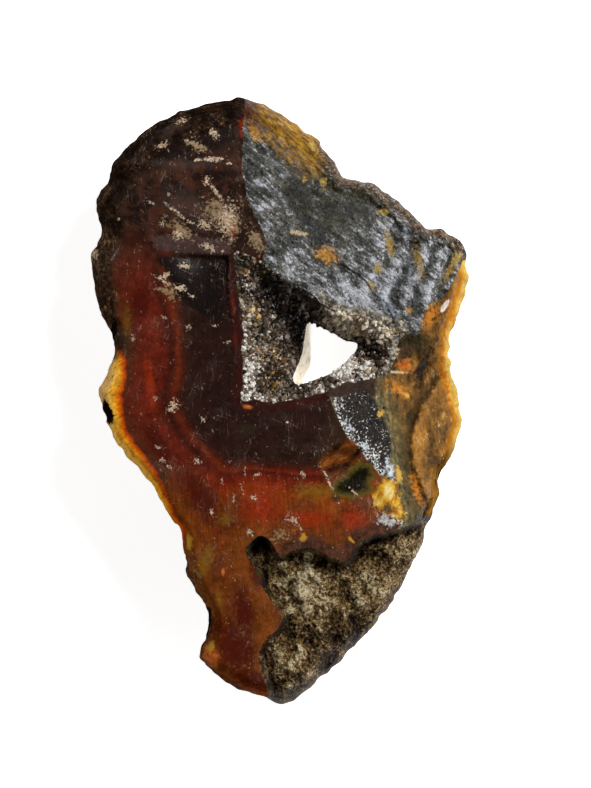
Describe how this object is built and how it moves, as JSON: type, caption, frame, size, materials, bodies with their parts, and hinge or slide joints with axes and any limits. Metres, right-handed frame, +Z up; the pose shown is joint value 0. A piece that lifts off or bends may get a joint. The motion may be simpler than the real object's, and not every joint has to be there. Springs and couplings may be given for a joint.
{
  "type": "agate nodule",
  "caption": "Broken agate nodule lying on its back, with a dark banded face, a rough rind and a crystal-lined hollow that opens through it.",
  "frame": {"origin": "on the surface that the stone rests on, under the middle of its bounding box", "axes": "+X to the right of the broken face, +Y to its top, +Z up out of the face; the stone lies on its back"},
  "size_m": [0.054, 0.0864, 0.0205],
  "materials": {
    "agate": "glossy dark brown chalcedony with orange edges and a rough rind",
    "druse": "glittering grey and golden quartz crystals"
  },
  "bodies": {
    "root": {"agate_nodule": "agate", "druse_lining": "druse"}
  },
  "joints": []
}
